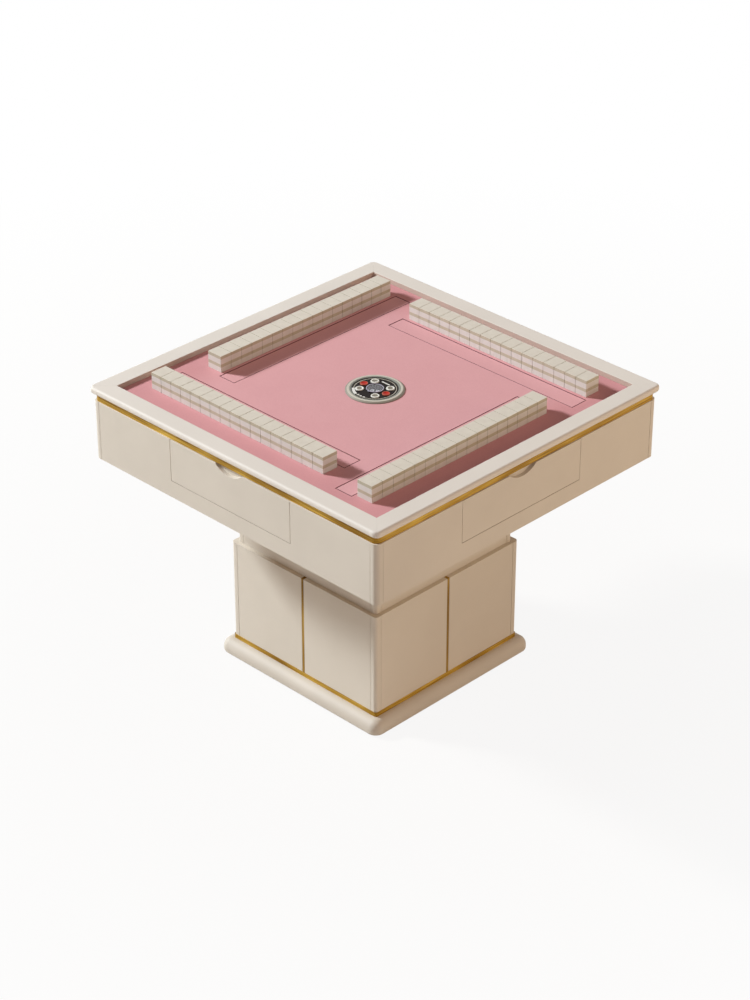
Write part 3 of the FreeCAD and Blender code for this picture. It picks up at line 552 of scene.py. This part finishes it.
# %% Tile finishes
def melamine(name, pale, deep):
    """Polished melamine: hard, smooth and a little milky, so it has a clear small highlight."""
    material, tree, shader, spot = finish(name, Roughness=0.32, IOR=1.5, Coat_Weight=0.2,
                                          Coat_Roughness=0.15)
    milk = add(tree, "ShaderNodeTexNoise", {"Vector": spot, "Scale": per_mm(18), "Detail": 2})
    tone = add(tree, "ShaderNodeValToRGB", {"Fac": milk.outputs[0]}, stops=((0.3, deep), (0.7, pale)))
    tree.links.new(tone.outputs[0], shader.inputs["Base Color"])
    return material


tile_white = melamine("White tile melamine", "E4E5DE", "DDDED6")
tile_back = melamine("Beige tile back", "DBD2C1", "D5CBBA")
shaded_tile_back_side = melamine("Olive side of the tile back with painted shade", "C8C5AE", "C0BDA4")
print("tile finishes:", [m.name for m in (tile_white, tile_back, shaded_tile_back_side)])

# %% One tile
STACKS = 17
LAYERS = 2
TILE_GAP = 0.9 * MM
TILE_ROUND = 0.5 * MM
TILE_SHARP = math.radians(35)
BACK_THICK = 8.2 * MM
row_low, row_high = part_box("tile_row_south")
pitch = (row_high.x - row_low.x + TILE_GAP) / STACKS
thick = (row_high.z - row_low.z) / LAYERS
tile_top = row_low.z + thick
back_foot = tile_top - BACK_THICK
tile = add_slab(row_low, Vector((row_low.x + pitch - TILE_GAP, row_high.y, tile_top)))
tile.data.materials.append(tile_white)
round_edges(tile, TILE_ROUND, 2)
edit(tile)
bpy.ops.mesh.select_all(action="SELECT")
bpy.ops.mesh.bisect(plane_co=(0, 0, back_foot), plane_no=(0, 0, 1))
# The back's sides get the darker olive copy: painted shade.
pick(tile, "FACE", lambda middle: middle.z > back_foot)
paint_picked(tile, shaded_tile_back_side)
pick(tile, "FACE", lambda middle: middle.z > tile_top - TILE_ROUND)
paint_picked(tile, tile_back)
bpy.ops.object.mode_set(mode="OBJECT")
bpy.ops.object.shade_smooth_by_angle(angle=TILE_SHARP)
apply_modifier(tile, "WEIGHTED_NORMAL", keep_sharp=True)
print("one tile:", len(tile.data.polygons), "faces, pitch", round(pitch / MM, 2), "mm")

# %% Four walls
def join(pieces, name):
    """Joins pieces into the first of them."""
    activate(pieces[0])
    for piece in pieces:
        piece.select_set(True)
    bpy.ops.object.join()
    pieces[0].name = name
    return pieces[0]


stack_steps = [Matrix.Translation((pitch * stack, 0, thick * layer))
               for layer in range(LAYERS) for stack in range(STACKS)]
wall = join([copy_of(tile, f"tile_{index}", step) for index, step in enumerate(stack_steps)], "tile_wall")
bpy.data.objects.remove(tile)
for count, side in enumerate(SIDES):
    turned = copy_of(wall, "tile_wall_" + side, turn(90 * count))
    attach(turned, "tiles_" + side)
    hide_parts("tile_row_" + side)
print("tiles in a wall:", len(stack_steps), "- faces in a wall:", len(wall.data.polygons))
bpy.data.objects.remove(wall)

# %% [markdown]
# ## Console ring and face
# The ring is turned aluminium with a pale gold anodised coat, and the face inside it is gloss black
# acrylic with fine printed circles. Turned and printed circles both depend only on the distance from
# the middle, so that distance drives a ramp with hard steps, and each band is set by its radius. The
# ring's outer band is darker: painted shade on its outer wall. The dice cover is clear acrylic, so it
# needs no pattern.

# %% Banded finishes
CONSOLE_RADIUS = 72
# The last ring band, from 67.4 mm out, is darker: painted shade on the ring's outer wall.
RING_BANDS_WITH_SHADE = ((0, "3A3A36"), (57.2, "84867A"), (60.8, "45453F"), (61.4, "C9C3B3"), (67.4, "8E887A"))
FACE_BANDS = ((0, "43303A"), (18.6, "1A100B"), (50.6, "C8C2B0"), (52.2, "1A100B"), (54.6, "4A463E"))


def banded(name, bands, **constants):
    """A finish in circles round the console's middle: bands are (radius in mm where it starts, colour)."""
    material, tree, shader, spot = finish(name, **constants)
    level = add(tree, "ShaderNodeMapping", {"Vector": spot, "Scale": (1, 1, 0)})
    radius = add(tree, "ShaderNodeVectorMath", {0: level.outputs[0]}, operation="LENGTH")
    part = add(tree, "ShaderNodeMath", {0: radius.outputs["Value"], 1: CONSOLE_RADIUS * MM},
               operation="DIVIDE")
    tone = add(tree, "ShaderNodeValToRGB", {"Fac": part.outputs[0]},
               stops=[(start / CONSOLE_RADIUS, code) for start, code in bands])
    tone.color_ramp.interpolation = "CONSTANT"
    tree.links.new(tone.outputs[0], shader.inputs["Base Color"])
    return material


# Anodised metal: a pale tone with a wide soft highlight, and a darker outer band that is painted shade.
dress(banded("Champagne anodised aluminium with painted shade", RING_BANDS_WITH_SHADE, Metallic=0.15, Roughness=0.45), "console_ring")
# Cast acrylic: deep black, so the printed circles stand out.
dress(banded("Gloss black acrylic", FACE_BANDS, Roughness=0.25, Specular_IOR_Level=0.06), "console_face")
# Polished clear acrylic: the dice show through, under a sharp glint.
clear = finish("Clear acrylic", Base_Color=ink("F4F3FA"), Roughness=0.06, IOR=1.49,
               Transmission_Weight=1)[0]
dress(clear, "dice_cover")
print("bands on ring and face:", len(RING_BANDS_WITH_SHADE), len(FACE_BANDS))

# %% [markdown]
# ## Buttons
# Each button is a moulded cap that stands through the face and is held by a flange under it. The white
# caps have a grey pad, the red ones a pale rim. One cap of each kind is drawn up from its flange with
# inset and extrude, its edge is rounded with bevel, and copies are turned round the console's middle.

# %% Cap finishes
# Moulded ABS: smooth and bright, with a small soft highlight.
cap_white = plain("White ABS", "F2F0E6", "ECEADF", grain=6, rough=0.3, depth=0.03, Coat_Weight=0.2)
cap_red = plain("Red ABS", "BE2A1C", "B22417", grain=6, rough=0.3, depth=0.03, Specular_IOR_Level=0.08)
cap_rim = plain("Pale red ABS rim", "CC6A50", "C46048", grain=6, rough=0.35, depth=0.03,
                Specular_IOR_Level=0.2)
# Silicone: soft to the touch and half dull.
pad_grey = plain("Grey silicone pad", "867F70", "797364", grain=3, rough=0.55, depth=0.1)
print("cap finishes:", [m.name for m in (cap_white, cap_red, cap_rim, pad_grey)])

# %% Caps
BUTTON_CIRCLE = 37 * MM
FLANGE_WIDTH = 1.5 * MM
FLANGE_THICK = 1.5 * MM
CAP_ROUND = 0.8 * MM
CAP_STEPS = 40
PAD_LIP = 0.3 * MM
PAD_DEPTH = 0.25 * MM
HAIR = 0.01 * MM
CAP_TURNS = {"white_ne": 45, "white_nw": 135, "white_sw": 225, "white_se": 315,
             "red_east": 0, "red_west": 180}
cap_low, cap_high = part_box("button_red_east")


def add_cap(radius, rim, middle, rim_share, pad_shape):
    """A cap on the east side of the circle, with a pad of another colour sunk into its top."""
    bpy.ops.object.select_all(action="DESELECT")
    bpy.ops.mesh.primitive_cylinder_add(vertices=CAP_STEPS, radius=radius + FLANGE_WIDTH,
                                        depth=FLANGE_THICK,
                                        location=(BUTTON_CIRCLE, 0, cap_low.z + FLANGE_THICK / 2))
    bpy.ops.object.transform_apply(location=True, rotation=True, scale=True)
    cap = bpy.context.object
    cap.data.materials.append(rim)
    edit(cap)
    pick(cap, "FACE", lambda spot: spot.z > cap_low.z + FLANGE_THICK - HAIR)
    bpy.ops.mesh.inset(thickness=FLANGE_WIDTH)
    rise = cap_high.z - cap_low.z - FLANGE_THICK
    bpy.ops.mesh.extrude_region_move(TRANSFORM_OT_translate={"value": (0, 0, rise)})
    bpy.ops.mesh.bevel(offset=CAP_ROUND, segments=3, affect="EDGES")
    pick(cap, "FACE", lambda spot: spot.z > cap_high.z - HAIR)
    bpy.ops.mesh.inset(thickness=radius * rim_share)
    bpy.ops.transform.resize(value=pad_shape, center_override=(BUTTON_CIRCLE, 0, cap_high.z))
    bpy.ops.mesh.inset(thickness=PAD_LIP, depth=-PAD_DEPTH)
    paint_picked(cap, middle)
    bpy.ops.object.mode_set(mode="OBJECT")
    bpy.ops.object.shade_smooth_by_angle(angle=SHARP_ANGLE)
    return cap


white_cap = add_cap(radius=10.5 * MM, rim=cap_white, middle=pad_grey, rim_share=0.17,
                    pad_shape=(0.8, 1, 1))
red_cap = add_cap(radius=9.5 * MM, rim=cap_rim, middle=cap_red, rim_share=0.06, pad_shape=(1, 1, 1))
for place, degrees in CAP_TURNS.items():
    kind = white_cap if place.startswith("white") else red_cap
    cap = copy_of(kind, "cap_" + place, turn(degrees))
    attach(cap, f"button_{place}_cap")
    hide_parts("button_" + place)
print("caps:", len(CAP_TURNS), "- faces each:", len(white_cap.data.polygons), len(red_cap.data.polygons))
bpy.data.objects.remove(white_cap)
bpy.data.objects.remove(red_cap)

# %% [markdown]
# ## Marks on the face
# The real face carries printing. Here it is kept plain: a pale bar between the north buttons, three
# dots on the south side and a curved bare plate in the south-west. They are thin raised pieces rather
# than paint, so they catch the light and stay sharp at any size. Bar and dots are boxes with rounded
# corners, and the plate is a short box whose end face is spun round the console's middle.

# %% Bar, dots and plate
MARK_RISE = 0.25 * MM
MARK_CORNER = 0.45
PLATE_STEPS = 12
DOT_SIZE = 5
DOT_CIRCLE = 49.5
DOT_TURNS = (261, 271.5, 282.5)
face_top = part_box("console_face")[1].z
# Screen print: flat, dull and white.
print_white = plain("White screen print", "EDEBE4", "E4E2DA", grain=5, rough=0.5, depth=0.02)


def add_mark(length, width, x, y, degrees):
    """A thin rounded plate on the face: its size and its middle in millimetres, and its turn."""
    half = Vector((length, width, 0)) * MM / 2
    lift = Vector((0, 0, face_top))
    mark = add_slab(lift - half, lift + half + Vector((0, 0, MARK_RISE)))
    edit(mark)
    pick(mark, "EDGE", lambda middle: abs(middle.z - face_top - MARK_RISE / 2) < MARK_RISE / 4)
    bpy.ops.mesh.bevel(offset=min(length, width) * MM * MARK_CORNER, segments=4, affect="EDGES")
    bpy.ops.object.mode_set(mode="OBJECT")
    mark.data.transform(Matrix.Translation((x * MM, y * MM, 0)) @ turn(degrees))
    return mark


def add_plate(inner, outer, start, sweep):
    """A thin curved plate on the face: its radii in millimetres, where it starts and how far it sweeps."""
    plate = add_slab(Vector((inner * MM, 0, face_top)),
                     Vector((outer * MM, MARK_RISE, face_top + MARK_RISE)))
    edit(plate)
    pick(plate, "FACE", lambda middle: middle.y > MARK_RISE - HAIR)
    bpy.ops.mesh.spin(steps=PLATE_STEPS, angle=math.radians(sweep), center=(0, 0, 0), axis=(0, 0, -1))
    bpy.ops.object.mode_set(mode="OBJECT")
    plate.data.transform(turn(start))
    return plate


marks = [add_mark(length=26, width=4, x=0, y=37, degrees=0),
         add_plate(inner=48.4, outer=55.4, start=220, sweep=33)]
for degrees in DOT_TURNS:
    way = turn(degrees) @ Vector((DOT_CIRCLE, 0, 0))
    marks.append(add_mark(DOT_SIZE, DOT_SIZE, way.x, way.y, degrees))
printing = join(marks, "face_printing")
printing.data.materials.append(print_white)
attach(printing, "console")
print("marks:", len(marks), "- faces:", len(printing.data.polygons))

# %% [markdown]
# ## Trim ring
# A moulded ring holds the clear cover down and shows as a pale line round it. A torus that sits on the
# cover's sloped edge gives its round sides. Its top is sliced off, and the two cut edges are bridged, so
# that it gets the flat land of a moulding.

# %% Trim ring of the cover
TRIM_RADIUS = 20.7 * MM
TRIM_THICK = 0.8 * MM
# Moulded plastic: pale and smooth, with a soft highlight.
trim_lilac = plain("Pale lilac trim plastic", "CFC9DC", "C4BED2", grain=3, rough=0.4, depth=0.02)
cover_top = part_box("dice_cover")[1].z
land = cover_top + TRIM_THICK / 2
bpy.ops.object.select_all(action="DESELECT")
bpy.ops.mesh.primitive_torus_add(major_segments=64, minor_segments=8, major_radius=TRIM_RADIUS,
                                 minor_radius=TRIM_THICK, location=(0, 0, cover_top))
bpy.ops.object.transform_apply(location=True, rotation=True, scale=True)
trim = bpy.context.object
trim.name = "cover_trim"
edit(trim)
bpy.ops.mesh.select_all(action="SELECT")
bpy.ops.mesh.bisect(plane_co=(0, 0, land), plane_no=(0, 0, 1), clear_outer=True)
pick(trim, "EDGE", lambda middle: middle.z > land - HAIR)
bpy.ops.mesh.bridge_edge_loops()
bpy.ops.object.mode_set(mode="OBJECT")
bpy.ops.object.shade_smooth_by_angle(angle=SHARP_ANGLE)
trim.data.materials.append(trim_lilac)
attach(trim, "console")
print("trim ring:", len(trim.data.polygons), "faces")

# %% [markdown]
# ## Dice
# Two white dice lie in the chamber under the clear cover. A die is a box with rounded edges, and its
# pips are small dark inlays just proud of each face, arranged as on any die. The side that it lies on
# has none. One die is modelled and turned to the two places that the CAD dice have.

# %% One die
DIE_SPREAD = 13 * MM
DIE_ROUND = 0.1
# Cast resin: smooth and white, with a small highlight.
die_white = plain("White dice resin", "EFEDE8", "E6E4DE", grain=5, rough=0.3, depth=0.02)
die_low, die_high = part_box("dice")
die_size = die_high.z - die_low.z
die_middle = Vector((DIE_SPREAD / 2, 0, die_low.z + die_size / 2))
die_half = Vector((1, 1, 1)) * die_size / 2
die = add_slab(die_middle - die_half, die_middle + die_half)
die.data.materials.append(die_white)
round_edges(die, DIE_ROUND * die_size, 3)
print("die:", round(die_size / MM, 2), "mm,", len(die.data.polygons), "faces")

# %% Pips and the pair
DIE_TURNS = (30, 210)
PIP_RADIUS = 0.85 * MM
PIP_DEPTH = 0.4 * MM
PIP_PROUD = 0.024 * MM
PIP_STEP = 0.27
CORNERS = ((-1, -1), (1, 1), (-1, 1), (1, -1))
PIPS = {"+Z": ((0, 0),) + CORNERS, "+X": ((-1, -1), (0, 0), (1, 1)), "-X": CORNERS,
        "+Y": CORNERS + ((-1, 0), (1, 0)), "-Y": ((0, 0),)}
FACINGS = {"+Z": (0, "Z"), "+X": (90, "Y"), "-X": (-90, "Y"), "+Y": (-90, "X"), "-Y": (90, "X")}
# Enamel paint: dark, with a soft highlight.
pip_dark = plain("Dark pip paint", "23232A", "1C1C22", grain=2, rough=0.4, depth=0.02)
pips = []
for way, spots in PIPS.items():
    degrees, axis = FACINGS[way]
    facing = Matrix.Rotation(math.radians(degrees), 4, axis)
    for u, v in spots:
        bpy.ops.object.select_all(action="DESELECT")
        bpy.ops.mesh.primitive_cylinder_add(vertices=12, radius=PIP_RADIUS, depth=PIP_DEPTH)
        pip = bpy.context.object
        pip.data.materials.append(pip_dark)
        shift = Vector((u * PIP_STEP, v * PIP_STEP, 0.5)) * die_size
        shift.z += PIP_PROUD - PIP_DEPTH / 2
        pip.data.transform(Matrix.Translation(die_middle) @ facing @ Matrix.Translation(shift))
        pips.append(pip)
die = join([die] + pips, "die")
pair = join([copy_of(die, f"die_{degrees}", turn(degrees)) for degrees in DIE_TURNS], "dice_pair")
bpy.data.objects.remove(die)
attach(pair, "console")
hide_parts("dice")
print("dice:", len(DIE_TURNS), "- pips on each:", len(pips))
